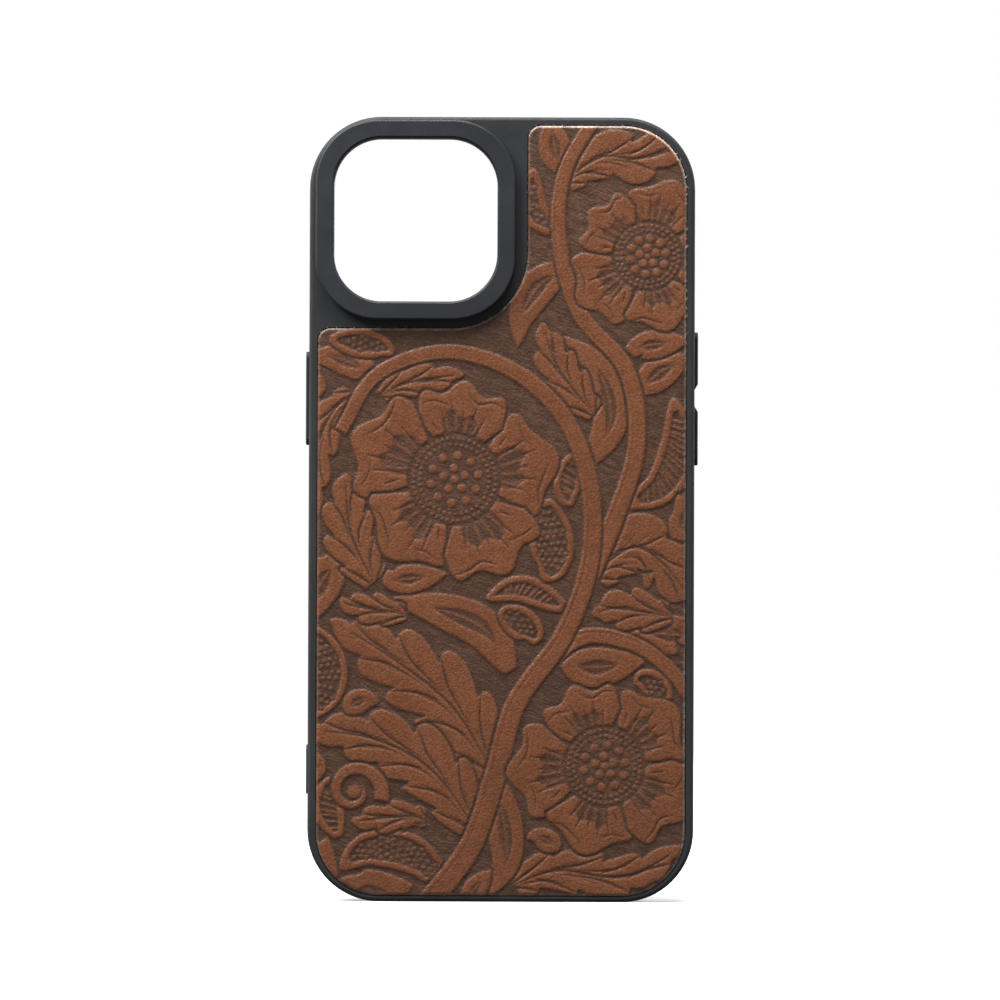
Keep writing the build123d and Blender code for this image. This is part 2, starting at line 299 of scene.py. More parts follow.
def studio_white():
    """A pale floor that takes soft shadows near the case and is pure white further off."""
    made, tree, shader = material("studio_white")
    place = tree.nodes.new("ShaderNodeTexCoord")
    reach = tree.nodes.new("ShaderNodeVectorMath")
    reach.operation = "LENGTH"
    tree.links.new(place.outputs["Object"], reach.inputs[0])
    away = reach.outputs["Value"]
    glow = remap(tree, away, FLOOR_GLOW_START, FLOOR_GLOW_END, FLOOR_GLOW_NEAR, FLOOR_GLOW_FAR)
    tree.links.new(glow, shader.inputs["Emission Strength"])
    shader.inputs["Base Color"].default_value = (FLOOR_TONE, FLOOR_TONE, FLOOR_TONE, 1)
    shader.inputs["Roughness"].default_value = 0.9
    shader.inputs["Emission Color"].default_value = (1, 1, 1, 1)
    return made


# ==== tooling: lines, outlines and the marks that they make

def curve(points, step=0.45):
    """Points along one smooth curve through these points."""
    p = np.array(points, float)
    p = np.concatenate([[2 * p[0] - p[1]], p, [2 * p[-1] - p[-2]]])
    made = []
    for a, b, c, d in zip(p, p[1:], p[2:], p[3:]):
        count = max(2, math.ceil(np.hypot(*(c - b)) / step))
        t = (np.arange(count) / count)[:, None]
        made.append(b + 0.5 * t * (c - a + t * (2 * a - 5 * b + 4 * c - d + t * (3 * b - a - 3 * c + d))))
    return np.concatenate(made + [p[-2:-1]])


def along(line):
    """How far along the line each point is (0 to 1), with its direction and its left-hand side."""
    steps = np.hypot(*np.diff(line, axis=0).T)
    share = np.concatenate([[0], np.cumsum(steps)]) / steps.sum()
    forward = np.gradient(line, axis=0)
    forward /= np.hypot(*forward.T)[:, None]
    return share, forward, np.stack([-forward[:, 1], forward[:, 0]], 1)


def arc(x, z, radius, start, end, step=0.45):
    """Points on part of a circle, with its angles in degrees."""
    count = max(3, math.ceil(abs(math.radians(end - start)) * radius / step))
    angle = np.radians(np.linspace(start, end, count))
    return np.stack([x + radius * np.cos(angle), z + radius * np.sin(angle)], 1)


def swelling(share, start, shape, power):
    """A leaf's width along its length, from its share at the stalk to nothing at its tip."""
    return np.sin(np.pi * np.clip(start + (1 - start) * share, 0, 1) ** shape).clip(0) ** power


def smoothstep(t):
    t = np.clip(t, 0, 1)
    return t * t * (3 - 2 * t)


def line_distance(x, z, line, reach):
    """Distance from each place of a grid to the line, up to reach, and how far along it (0 to 1) that is."""
    pitch = x[0, 1] - x[0, 0] if x.shape[1] > 1 else reach
    corner = np.array([x[0, 0], z[0, 0]])
    lengths = np.hypot(*np.diff(line, axis=0).T)
    starts = np.concatenate([[0], np.cumsum(lengths)])
    best, share = np.full(x.shape, reach), np.zeros(x.shape)
    for a, b, length, start in zip(line, line[1:], lengths, starts):
        first = np.maximum(((np.minimum(a, b) - reach - corner) / pitch).astype(int), 0)
        last = ((np.maximum(a, b) + reach - corner) / pitch).astype(int) + 2
        if length < 1e-9 or (last <= first).any():
            continue
        near = (slice(first[1], last[1]), slice(first[0], last[0]))
        ux, uz = (b - a) / length
        dx, dz = x[near] - a[0], z[near] - a[1]
        t = np.clip(dx * ux + dz * uz, 0, length)
        gap = np.hypot(dx - t * ux, dz - t * uz)
        nearer = gap < best[near]
        best[near] = np.where(nearer, gap, best[near])
        share[near] = np.where(nearer, (start + t) / starts[-1], share[near])
    return best, share


def inside(x, z, outline):
    found = np.zeros(x.shape, bool)
    up = z[:, 0]
    for a, b in zip(outline, np.roll(outline, -1, axis=0)):
        rows = np.flatnonzero((a[1] > up) != (b[1] > up))
        if len(rows):
            crossing = a[0] + (up[rows] - a[1]) * (b[0] - a[0]) / (b[1] - a[1])
            found[rows] ^= x[rows] < crossing[:, None]
    return found


def inside_points(points, outline):
    """Whether each of these points lies inside the outline."""
    found = np.zeros(len(points), bool)
    for a, b in zip(outline, np.roll(outline, -1, axis=0)):
        rows = np.flatnonzero((a[1] > points[:, 1]) != (b[1] > points[:, 1]))
        crossing = a[0] + (points[rows, 1] - a[1]) * (b[0] - a[0]) / (b[1] - a[1]) if len(rows) else []
        found[rows] ^= points[rows, 0] < crossing
    return found


class Tooling:
    """The panel's relief on a square grid: 0 is the beaten ground and 1 the leather's own face."""

    def __init__(self, low, high, pitch):
        self.pitch = pitch
        self.low = np.array(low, float)
        columns, rows = (math.ceil((b - a) / pitch) + 1 for a, b in zip(low, high))
        self.x = low[0] + pitch * np.arange(columns)
        self.z = low[1] + pitch * np.arange(rows)
        self.level = np.zeros((rows, columns))

    def patch(self, points, margin):
        """The part of the grid near these points, with its places, or None off the panel."""
        low = ((points.min(0) - margin - self.low) / self.pitch).astype(int)
        high = ((points.max(0) + margin - self.low) / self.pitch).astype(int) + 2
        low = np.maximum(low, 0)
        if high[0] <= low[0] or high[1] <= low[1]:
            return None
        where = (slice(low[1], high[1]), slice(low[0], high[0]))
        if self.level[where].size == 0:
            return None
        return where, *np.meshgrid(self.x[where[1]], self.z[where[0]])

    def raised(self, outline, top=1.0, bevel=0.38, groove=0.5, crown=0.0):
        """Leaves the outline's inside standing, with a bevelled edge and a groove pressed round it."""
        found = self.patch(outline, groove)
        if found is None:
            return
        where, x, z = found
        gap, _ = line_distance(x, z, np.concatenate([outline, outline[:1]]), 2.0)
        face = top * smoothstep(gap / bevel) - crown * (1 - smoothstep(gap / 2.0))
        around = self.level[where] * smoothstep(gap / groove)
        self.level[where] = np.where(inside(x, z, outline), np.maximum(face, 0), around)

    def sunk(self, outline, to=0.35, bevel=0.5):
        """Presses the outline's inside down to a level, softly from its edge."""
        found = self.patch(outline, 0.0)
        if found is None:
            return
        where, x, z = found
        gap, _ = line_distance(x, z, np.concatenate([outline, outline[:1]]), max(bevel, 0.3))
        level = self.level[where]
        pressed = level + (np.minimum(to, level) - level) * smoothstep(gap / bevel)
        self.level[where] = np.where(inside(x, z, outline), pressed, level)

    def cut(self, line, width=0.5, depth=1.0):
        """A knife cut that thins towards both ends."""
        found = self.patch(line, width)
        if found is None:
            return
        where, x, z = found
        gap, share = line_distance(x, z, line, width)
        half = width / 2 * np.sin(np.pi * np.clip(share, 0.06, 0.94)) ** 0.5
        self.level[where] *= 1 - depth * (1 - smoothstep(gap / half))

    def ridge(self, line, width=0.6, top=0.8):
        """A rounded rib that thins towards both ends."""
        found = self.patch(line, width)
        if found is None:
            return
        where, x, z = found
        gap, share = line_distance(x, z, line, width)
        half = width / 2 * np.sin(np.pi * np.clip(share, 0.08, 0.92)) ** 0.4
        rib = top * np.sqrt(np.clip(1 - (gap / half) ** 2, 0, 1))
        self.level[where] = np.maximum(self.level[where], rib)

    def bead(self, x, z, radius, top=0.9):
        """A round seed with a ring pressed round it."""
        found = self.patch(np.array([(x, z)]), radius + 0.4)
        if found is None:
            return
        where, across, up = found
        gap = np.hypot(across - x, up - z)
        dome = top * np.sqrt(np.clip(1 - (gap / radius) ** 2, 0, 1)) ** 0.7
        around = self.level[where] * smoothstep((gap - radius) / 0.35)
        self.level[where] = np.where(gap < radius, dome, around)


# ==== tooling: motifs of traditional western floral carving

def blade(line, left, right=None):
    """The outline of a shape that runs along the line, with its half-widths to each side."""
    _, _, side = along(line)
    right = left if right is None else right
    return np.concatenate([line + side * left[:, None], (line - side * right[:, None])[::-1]])


def stem(tooling, points, start, end):
    """A flat band that tapers from one half-width to the other."""
    line = curve(points)
    share, _, side = along(line)
    half = start + (end - start) * share
    tooling.raised(blade(line, half))
    tooling.cut(line + side * (half * 0.45)[:, None], width=0.34, depth=0.55)


def scroll(tooling, x, z, radius, start, turns, half, way=1):
    """A stem that curls in on itself round a seed."""
    angle = math.radians(start) + way * np.linspace(0, 2 * math.pi * turns, int(90 * turns))
    reach = np.linspace(radius, radius * 0.2, len(angle))
    line = np.stack([x + reach * np.cos(angle), z + reach * np.sin(angle)], 1)
    share, _, _ = along(line)
    tooling.raised(blade(line, half * (1 - 0.6 * share)))
    tooling.bead(x, z, radius * 0.26)


def acanthus(tooling, points, width, lobes, ribs=3):
    """A leaf with scalloped lobes down both sides, a midrib and shaded, ribbed lobes."""
    line = curve(points)
    share, forward, side = along(line)
    full = width * swelling(share, 0.1, 0.85, 0.75)
    edges = []
    for way, shift in ((1, 0.0), (-1, 0.45)):
        swell = np.abs(np.sin(np.pi * (share * lobes + shift))) ** 0.6
        reach = full * (0.6 + 0.4 * swell)
        sweep = full * 0.45 * swell
        edges.append(line + way * side * reach[:, None] + forward * sweep[:, None])
    tooling.raised(np.concatenate([edges[0], edges[1][::-1]]), crown=0.12)
    for way, shift in ((1, 0.0), (-1, 0.45)):
        for lobe in range(lobes):
            lobe_cuts(tooling, line, full, way, (lobe + 1 - shift) / lobes, 1 / lobes, ribs)
    inner = slice(2, int(len(line) * 0.9))
    tooling.cut(line[inner], width=0.9, depth=0.95)


def lobe_cuts(tooling, line, full, way, notch, spacing, ribs):
    """One lobe's shading: a knife cut from its notch to the midrib, and finer cuts beside it."""
    _, forward, side = along(line)
    last = len(line) - 1
    if not 0.05 < notch < 0.98:
        return
    for rib in range(ribs + 1):
        outer = min(int((notch - spacing * 0.22 * rib) * last), last)
        inner = max(int((notch - spacing * (0.95 + 0.2 * rib)) * last), 0)
        if outer <= 1:
            continue
        reach = 0.78 if rib == 0 else 0.62 - 0.1 * rib
        tip = line[outer] + way * side[outer] * full[outer] * reach + forward[outer] * full[outer] * 0.1
        root = line[inner] + way * side[inner] * full[inner] * 0.12
        middle = (tip + root) / 2 - way * side[inner] * full[inner] * 0.1
        width, depth = (0.75, 0.9) if rib == 0 else (0.42, 0.6)
        tooling.cut(curve([root, middle, tip]), width=width, depth=depth)


def plain_leaf(tooling, points, width):
    """A smooth leaf with one shaded hollow and a short vein."""
    line = curve(points)
    share, _, _ = along(line)
    full = width * swelling(share, 0.04, 0.8, 0.8)
    tooling.raised(blade(line, full), crown=0.12)
    hollow = slice(int(len(line) * 0.18), int(len(line) * 0.72))
    waist = swelling(np.linspace(0, 1, len(line[hollow])), 0.0, 1.0, 0.7)
    tooling.sunk(blade(line[hollow], full[hollow] * 0.42 * waist + 0.02), to=0.3)
    tooling.ridge(line[hollow], width=0.6, top=0.75)


def pod(tooling, points, width, seeds=False, spacing=1.15):
    """A closed seed pod: a raised rim with slanting ribs inside, or with seeds."""
    line = curve(points)
    share, forward, side = along(line)
    full = width * swelling(share, 0.03, 1.0, 0.6)
    tooling.raised(blade(line, full))
    core = slice(int(len(line) * 0.1), int(len(line) * 0.9))
    well = np.maximum(full[core] - 1.25, 0.05)
    tooling.sunk(blade(line[core], well), to=0.1, bevel=0.35)
    length = np.hypot(*np.diff(line, axis=0).T).sum()
    for k in range(1, int(length * 0.8 / spacing)):
        place = int((0.1 + k * spacing / length) * (len(line) - 1))
        middle, half = line[place], max(full[place] - 1.6, 0.0)
        if seeds:
            seed_row(tooling, middle, side[place], half, k)
        elif half > 0.4:
            lean = forward[place] * half * 0.45
            tooling.ridge(np.array([middle - side[place] * half - lean, middle + side[place] * half + lean]))


def seed_row(tooling, middle, across, half, row):
    count = int(half / 0.62)
    for k in range(-count, count + 1):
        if (k + row) % 2 == 0:
            spot = middle + across * 0.62 * k
            tooling.bead(spot[0], spot[1], 0.46, top=0.7)


def petal(tooling, x, z, radius, angle, half, waves, swell):
    """One ruffled petal: a lobed rim with a rolled lip, a shaded base and cuts that fan out of it."""
    across = np.linspace(-1, 1, 49)
    rim = radius * swell * (0.95 - 0.2 * np.abs(across) ** 3 + 0.06 * np.cos(np.pi * waves * across))
    rim_angle = angle + half * across * (1.08 - 0.08 * across ** 2)
    root_angle = angle + half * 0.8 * across[::-1]
    spread = np.concatenate([rim_angle, root_angle])
    reach = np.concatenate([rim, np.full(across.shape, radius * 0.36)])
    tooling.raised(np.stack([x + reach * np.cos(spread), z + reach * np.sin(spread)], 1), crown=0.15)

    def place(out, turn):
        where = angle + half * turn
        return (x + radius * swell * out * np.cos(where), z + radius * swell * out * np.sin(where))

    shade = ((0.4, -0.62), (0.55, -0.6), (0.68, -0.3), (0.64, -0.05), (0.72, 0.2), (0.62, 0.5), (0.4, 0.6))
    tooling.sunk(curve([place(*p) for p in shade]), to=0.3, bevel=0.7)
    for turn, out in ((-0.66, 0.66), (-0.42, 0.76), (-0.16, 0.7), (0.1, 0.8), (0.34, 0.74), (0.6, 0.62)):
        root, middle = place(0.4, turn * 0.8), place((0.4 + out) / 2, turn * 1.1)
        tooling.ridge(curve([root, middle, place(out - 0.04, turn * 0.96)]), width=0.62, top=0.72)
        tooling.cut(curve([place(0.5, turn * 0.9 + 0.1), place(out, turn + 0.12)]), width=0.5)
    lip = [place(0.84 + 0.05 * math.cos(math.pi * waves * t), t) for t in (-0.78, -0.55, -0.3, -0.08)]
    tooling.cut(curve(lip), width=0.6, depth=0.9)
    fold = [place(0.8 + 0.05 * math.cos(math.pi * waves * t), t) for t in (0.3, 0.55, 0.76)]
    tooling.cut(curve(fold), width=0.5, depth=0.8)


PETAL_WAVES = (2.0, 3.0, 2.4, 2.0, 2.8)
PETAL_SWELLS = (1.0, 0.93, 1.05, 0.97, 1.02)


def flower(tooling, x, z, radius, turn, petals=5):
    """A five-petalled rose seen face on, with a seeded middle."""
    for k in range(petals):
        angle = math.radians(turn) + 2 * math.pi * k / petals
        half = math.pi / petals * 1.06
        petal(tooling, x, z, radius, angle, half, PETAL_WAVES[k % 5], PETAL_SWELLS[k % 5])
    middle = arc(x, z, radius * 0.43, 0, 360)[:-1]
    tooling.raised(middle, top=0.3, bevel=0.3)
    for ring, seed in ((0.385, 0.42), (0.325, 0.42)):
        count = int(2 * math.pi * ring * radius / 1.05)
        for k in range(count):
            angle = 2 * math.pi * (k + (0.5 if ring < 0.35 else 0)) / count
            out = ring * radius
            tooling.bead(x + out * math.cos(angle), z + out * math.sin(angle), seed, top=0.75)
    for ring, count in ((0.0, 1), (0.105, 5), (0.225, 10)):
        for k in range(count):
            angle = 2 * math.pi * (k + 0.3) / count
            tooling.bead(x + ring * radius * math.cos(angle), z + ring * radius * math.sin(angle), 0.92)


def clearance(taken, cell):
    """Distance from each cell to the nearest taken one, or to what lies off the grid's edge."""
    found = np.zeros(taken.shape)
    free = ~taken
    for ring in range(40):
        if not free.any():
            break
        found[free] = (ring + 1) * cell
        wide = np.pad(free, 1, constant_values=True)
        spread = wide[1:-1, 1:-1] & wide[:-2, 1:-1] & wide[2:, 1:-1] & wide[1:-1, :-2] & wide[1:-1, 2:]
        if ring % 2:
            spread &= wide[:-2, :-2] & wide[2:, 2:] & wide[:-2, 2:] & wide[2:, :-2]
        free = spread
    return found


def creases(tooling, x, z, width, height, count, rise):
    """Natural creases in the hide: shallow lines side by side, none quite like the next."""
    for k in range(count):
        share = (k + 0.5) / count
        start = x + width * 0.35 * (0.5 + 0.5 * math.sin(k * 2.3))
        end = x + width * (0.72 + 0.28 * math.cos(k * 1.7))
        low = z + height * share
        bend = 0.5 * math.sin(k * 1.3)
        points = [(start, low), ((start + end) / 2, low + rise * 0.4 + bend), (end, low + rise)]
        tooling.cut(curve(points), width=0.5, depth=0.17 + 0.08 * math.sin(k * 2.9))


def fill_gaps(tooling, least, most):
    """Sets leaves and pods in the open ground, the widest gap first, each along its gap's longest way."""
    cell = GAP_CELL * tooling.pitch
    across, up = np.meshgrid(tooling.x[::GAP_CELL], tooling.z[::GAP_CELL])
    notch = inside(across, up, panel_notch())
    for k in range(most):
        free = clearance((tooling.level[::GAP_CELL, ::GAP_CELL] > 0.45) | notch, cell)
        row, column = np.unravel_index(np.argmax(free), free.shape)
        room = free[row, column]
        if room < least:
            return
        spots = []
        for turn in range(12):
            angle = math.pi * turn / 12
            ends = [free_run(free, row, column, angle, way) for way in (-1, 1)]
            spots.append((ends[1] - ends[0], angle, ends))
        length, angle, ends = max(spots)
        gap_motif(tooling, k, across[row, column], up[row, column], angle, np.array(ends) * cell, room)


def free_run(free, row, column, angle, way):
    """How many cells a leaf could reach that way through the gap, up to a leaf's usual length."""
    for step in range(1, LONGEST_LEAF_REACH + 1):
        j = int(round(row + way * step * math.sin(angle)))
        i = int(round(column + way * step * math.cos(angle)))
        if not (0 <= j < free.shape[0] and 0 <= i < free.shape[1]) or free[j, i] < 1.1:
            return way * step
    return way * LONGEST_LEAF_REACH


def gap_motif(tooling, k, x, z, angle, ends, room):
    """One leaf or pod through (x, z), bowed a little to one side."""
    way = np.array([math.cos(angle), math.sin(angle)])
    bow = np.array([-way[1], way[0]]) * room * (0.35 if k % 2 else -0.35)
    centre = np.array([x, z])
    ends = ends if k % 3 else ends[::-1]
    points = [centre + way * ends[0] - bow, centre, centre + way * ends[1] - bow]
    length = abs(ends[1] - ends[0])
    half = min(room * 0.92, length * 0.34)
    if length > 13 and k % 2:
        acanthus(tooling, points, half * 1.15, max(3, int(length / 5)), ribs=2)
    elif half > 2.3 and k % 3 == 0:
        pod(tooling, points, half, seeds=k % 2 == 0)
    else:
        plain_leaf(tooling, points, half)


# ==== tooling: this panel's own composition

def tool_panel(tooling):
    """Three roses on one winding stem, with leaves, pods and scrolls that fill the panel round them."""
    lower_leaves(tooling)
    middle_leaves(tooling)
    upper_leaves(tooling)
    stems_and_roses(tooling)
    fill_gaps(tooling, least=2.75, most=50)
    stems_and_roses(tooling)
    creases(tooling, 7, 110, 26, 13, 9, 3.5)
    creases(tooling, -33, 50, 17, 9, 6, -2.5)


def panel_notch():
    """The corner that the panel leaves open for the camera ring, as an outline."""
    low, high = (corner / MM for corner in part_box("camera_guard_ring"))
    right, bottom = high.x + NOTCH_GAP_BESIDE, low.z - NOTCH_GAP_BELOW
    far = 200
    return np.array([(right, bottom), (right, far), (-far, far), (-far, bottom)])


def lower_leaves(tooling):
    acanthus(tooling, [(-1, 24), (-9, 37), (-20, 46), (-33, 54)], 8.0, 5)
    acanthus(tooling, [(-4, 13), (-13, 25), (-24, 31), (-38, 33)], 7.0, 5)
    acanthus(tooling, [(2, 3), (11, 6), (24, 5), (36, 11)], 5.0, 4)
    plain_leaf(tooling, [(-1, 24), (1, 14), (1, 7), (-3, 0)], 3.6)
    pod(tooling, [(-10, 3), (-17, 9), (-25, 10), (-31, 6)], 4.0, seeds=True)
    pod(tooling, [(-31, 12), (-33, 18), (-33, 24)], 3.0)
    plain_leaf(tooling, [(2, 44), (-3, 52), (-12, 56), (-22, 58)], 4.2)


def middle_leaves(tooling):
    acanthus(tooling, [(17, 62), (25, 68), (31, 65), (38, 56)], 6.5, 4)
    pod(tooling, [(24, 76), (31, 80), (34, 88), (33, 97)], 3.8)
    plain_leaf(tooling, [(17, 84), (21, 93), (18, 103), (11, 109)], 3.6)
    plain_leaf(tooling, [(-31, 66), (-35, 60), (-38, 52)], 4.2)
    acanthus(tooling, [(-28, 98), (-33, 93), (-36, 84), (-36, 72)], 4.2, 4)
    plain_leaf(tooling, [(-24, 101), (-31, 104), (-38, 105)], 3.0)
    pod(tooling, [(13, 56), (4, 60), (-3, 58)], 2.8)


def upper_leaves(tooling):
    acanthus(tooling, [(11, 138), (19, 143), (27, 143), (38, 148)], 5.2, 4)
    plain_leaf(tooling, [(14, 121), (8, 119), (4, 113), (3, 106)], 3.6)
    pod(tooling, [(11, 128), (6, 133), (6, 141)], 2.8, seeds=True)
    plain_leaf(tooling, [(26, 98), (31, 102), (37, 105)], 3.4)


def stems_and_roses(tooling):
    """Drawn before the gaps are filled and again after, so that the small leaves lie behind them."""
    stem(tooling, [(2, 38), (14, 50), (24, 50), (32, 45), (38, 37)], 1.9, 1.4)
    branch = [(16, 60), (22, 74), (26, 88), (24, 102), (15, 113), (11, 127), (12, 140), (18, 151)]
    stem(tooling, branch, 2.0, 1.4)
    main = [(-16, -3), (-6, 10), (-1, 24), (3, 38), (12, 51), (17, 65), (17, 80), (12, 93), (2, 102)]
    stem(tooling, main + [(-11, 105.5), (-24, 101), (-31, 90)], 2.4, 1.4)
    scroll(tooling, -28, 21, 5.5, -20, 1.2, 1.6)
    flower(tooling, -9, 81, 20.5, 12)
    flower(tooling, 20, 26, 18.0, 40)
    flower(tooling, 28, 124, 15.5, 70)


def add_piece(name, vertices, faces, finish):
    """A new mesh piece that rides with the case."""
    mesh = bpy.data.meshes.new(name)
    mesh.from_pydata(vertices, [], faces)
    made = bpy.data.objects.new(name, mesh)
    bpy.context.scene.collection.objects.link(made)
    made.data.materials.append(finish)
    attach(made, "case")
    return made


# ==== leather panel mesh

def panel_outline(inset, step=0.22):
    """The panel's outline inside its edge, as points and outward directions, anticlockwise."""
    low, high = (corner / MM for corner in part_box("leather_panel"))
    ring_low, ring_high = (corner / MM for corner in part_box("camera_guard_ring"))
    left, right, bottom, top = low.x, high.x, low.z, high.z
    notch_x, notch_z = ring_high.x + NOTCH_GAP_BESIDE, ring_low.z - NOTCH_GAP_BELOW
    corners = (
        (left + PANEL_CORNER, bottom + PANEL_CORNER, PANEL_CORNER, 180, 270),
        (right - PANEL_CORNER, bottom + PANEL_CORNER, PANEL_CORNER, 270, 360),
        (right - PANEL_CORNER, top - PANEL_CORNER, PANEL_CORNER, 0, 90),
        (notch_x + SHOULDER, top - SHOULDER, SHOULDER, 90, 180),
        (notch_x - NOTCH_CORNER, notch_z + NOTCH_CORNER, -NOTCH_CORNER, 0, -90),
        (left + SHOULDER, notch_z - SHOULDER, SHOULDER, 90, 180),
    )
    points, outward = [], []
    for x, z, radius, start, end in corners:
        turned = arc(x, z, abs(radius), start, end, step)
        away = (turned - (x, z)) / radius
        if points:
            span = turned[0] - points[-1][-1]
            count = max(2, math.ceil(np.hypot(*span) / step))
            share = (np.arange(1, count) / count)[:, None]
            points.append(points[-1][-1] + share * span)
            outward.append(np.repeat(away[:1], count - 1, axis=0))
        points.append(turned)
        outward.append(away)
    span = points[0][0] - points[-1][-1]
    count = max(2, math.ceil(np.hypot(*span) / step))
    points.append(points[-1][-1] + (np.arange(1, count) / count)[:, None] * span)
    outward.append(np.repeat(outward[0][:1], count - 1, axis=0))
    points, outward = np.concatenate(points), np.concatenate(outward)
    return points - outward * inset, outward


def blurred(level, reach):
    """A box blur done twice, which is close to a soft round one."""
    for _ in range(2):
        for axis in (0, 1):
            pad = [(reach + 1, reach) if a == axis else (0, 0) for a in (0, 1)]
            total = np.cumsum(np.pad(level, pad, mode="edge"), axis=axis)
            size = 2 * reach + 1
            level = (np.take(total, range(size, total.shape[axis]), axis)
                     - np.take(total, range(0, total.shape[axis] - size), axis)) / size
    return level


def sampled(tooling, values, points):
    """A grid's value at each point, between its four neighbours."""
    place = (points - tooling.low) / tooling.pitch
    base = np.clip(np.floor(place).astype(int), 0, np.array(values.shape)[::-1] - 2)
    u, v = (place - base).T
    i, j = base.T
    return ((1 - v) * ((1 - u) * values[j, i] + u * values[j, i + 1])
            + v * ((1 - u) * values[j + 1, i] + u * values[j + 1, i + 1]))


def leather_panel():
    """The panel: tooled face on a fine grid, a strip fitted to its outline, its cut edge and its back."""
    low, high = (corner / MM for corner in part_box("leather_panel"))
    tooling = Tooling((low.x, low.z), (high.x, high.z), TOOLING_PITCH)
    tool_panel(tooling)
    level = TOOLING_SOFTNESS * blurred(tooling.level, 1) + (1 - TOOLING_SOFTNESS) * tooling.level
    # darker colour where the surface lies below its surroundings, in the hollows beside raised shapes, and
    # on the low ground
    hollow = blurred(level, HOLLOW_DARKENING_REACH) - level
    darkening = np.clip(hollow * HOLLOW_DARKENING_STRENGTH + GROUND_DARKENING * (level < GROUND_LEVEL), 0, 1)

    rim, outward = panel_outline(FACE_INSET)
    x, z = np.meshgrid(tooling.x, tooling.z)
    within = inside(x, z, panel_outline(FACE_INSET + GRID_MARGIN)[0])
    solid = within[:-1, :-1] & within[1:, :-1] & within[:-1, 1:] & within[1:, 1:]
    touching = np.zeros(level.shape, int)
    for rows, columns in ((slice(0, -1), slice(0, -1)), (slice(1, None), slice(0, -1)),
                          (slice(0, -1), slice(1, None)), (slice(1, None), slice(1, None))):
        touching[rows, columns] += solid
    used = touching > 0
    number = np.full(level.shape, -1)
    number[used] = np.arange(used.sum())
    grid = np.stack([x[used], z[used]], 1)
    quads = np.stack([number[:-1, :-1], number[:-1, 1:], number[1:, 1:], number[1:, :-1]], -1)[solid]

    edge_numbers = number[used & (touching < 4)]
    faces = quads.tolist() + fitted_strip(tooling, solid, grid, edge_numbers, rim, len(grid))

    count = len(rim)
    rough = np.sin(np.arange(count) * 1.7) * np.sin(np.arange(count) * 0.53 + 1)
    rim_depth = low.y + TOOLING_DEPTH * (1 - sampled(tooling, level, rim))
    upward, rightward = outward.clip(0)[:, 1], outward.clip(0)[:, 0]
    downward = (-outward).clip(0)[:, 1]
    # painted light: on top of the cut edge's own paleness, its sides that face up, right and down are made
    # paler, as if lit there
    bare_and_painted_light = BARE_EVERYWHERE + PAINTED_LIGHT_UPWARD * upward * (rim[:, 1] / high.z) ** 2
    bare_and_painted_light += PAINTED_LIGHT_RIGHTWARD * rightward + PAINTED_LIGHT_DOWNWARD * downward
    rounding = EDGE_ROUNDING + EDGE_RAGGEDNESS * rough[:, None]
    rows = (
        (rim, rim_depth, 0.0),
        (rim + outward * rounding, np.maximum(rim_depth, low.y + 0.08) + 0.05, 0.5),
        (rim + outward * FACE_INSET, np.full(count, low.y + EDGE_DEPTH) + 0.05 * rough, 1.0),
        (rim + outward * FACE_INSET, np.full(count, high.y), 0.8),
    )
    start = len(grid)
    for ring in range(len(rows) - 1):
        a = start + ring * count + np.arange(count)
        b = start + ring * count + (np.arange(count) + 1) % count
        faces += np.stack([a, a + count, b + count, b], 1).tolist()
    faces.append((start + (len(rows) - 1) * count + np.arange(count)).tolist())

    flat = np.concatenate([grid] + [row[0] for row in rows])
    depth = np.concatenate([low.y + TOOLING_DEPTH * (1 - level[used])] + [row[1] for row in rows])
    vertices = np.stack([flat[:, 0], depth, flat[:, 1]], 1) * MM
    made = add_piece("tooled_leather_back", vertices.tolist(), faces, tooled_leather())
    mesh = made.data
    undarkened = [np.zeros(count)] * (len(rows) - 1)
    shares = {
        "lift": np.concatenate([level[used]] + [sampled(tooling, level, rim)] * len(rows)),
        "darkening": np.concatenate([darkening[used], sampled(tooling, darkening, rim)] + undarkened),
        # the cut edge's paleness, with painted light added on its sides that face up, right and down
        "raw_edge_and_painted_light": np.concatenate([np.zeros(len(grid))] + [bare_and_painted_light * row[2] for row in rows]),
    }
    for name, values in shares.items():
        mesh.attributes.new(name, "FLOAT", "POINT").data.foreach_set("value", values.astype(np.float32))
    mesh.polygons.foreach_set("use_smooth", [True] * (len(faces) - 1) + [False])
    mesh.update()
    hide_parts("leather_panel")
    flat = ((high.x - low.x) * MM, (high.z - low.z) * MM)


def fitted_strip(tooling, solid, grid, edge_numbers, rim, rim_start):
    """Triangles between the grid's ragged edge and the rim, facing -Y."""
    count = len(rim)
    points = [Vector(p) for p in np.concatenate([rim, grid[edge_numbers]])]
    loop = [(k, (k + 1) % count) for k in range(count)]
    placed, _, triangles, origins, _, _ = delaunay_2d_cdt(points, loop, [], 1, 1e-6)
    names = [rim_start + o[0] if o[0] < count else int(edge_numbers[o[0] - count]) for o in origins]
    made = []
    for triangle in triangles:
        middle = sum((placed[k] for k in triangle), Vector((0, 0))) / len(triangle)
        column, row = ((np.array(middle) - tooling.low) / tooling.pitch).astype(int)
        if not (0 <= row < solid.shape[0] and 0 <= column < solid.shape[1] and solid[row, column]):
            made.append([names[k] for k in triangle])
    return made


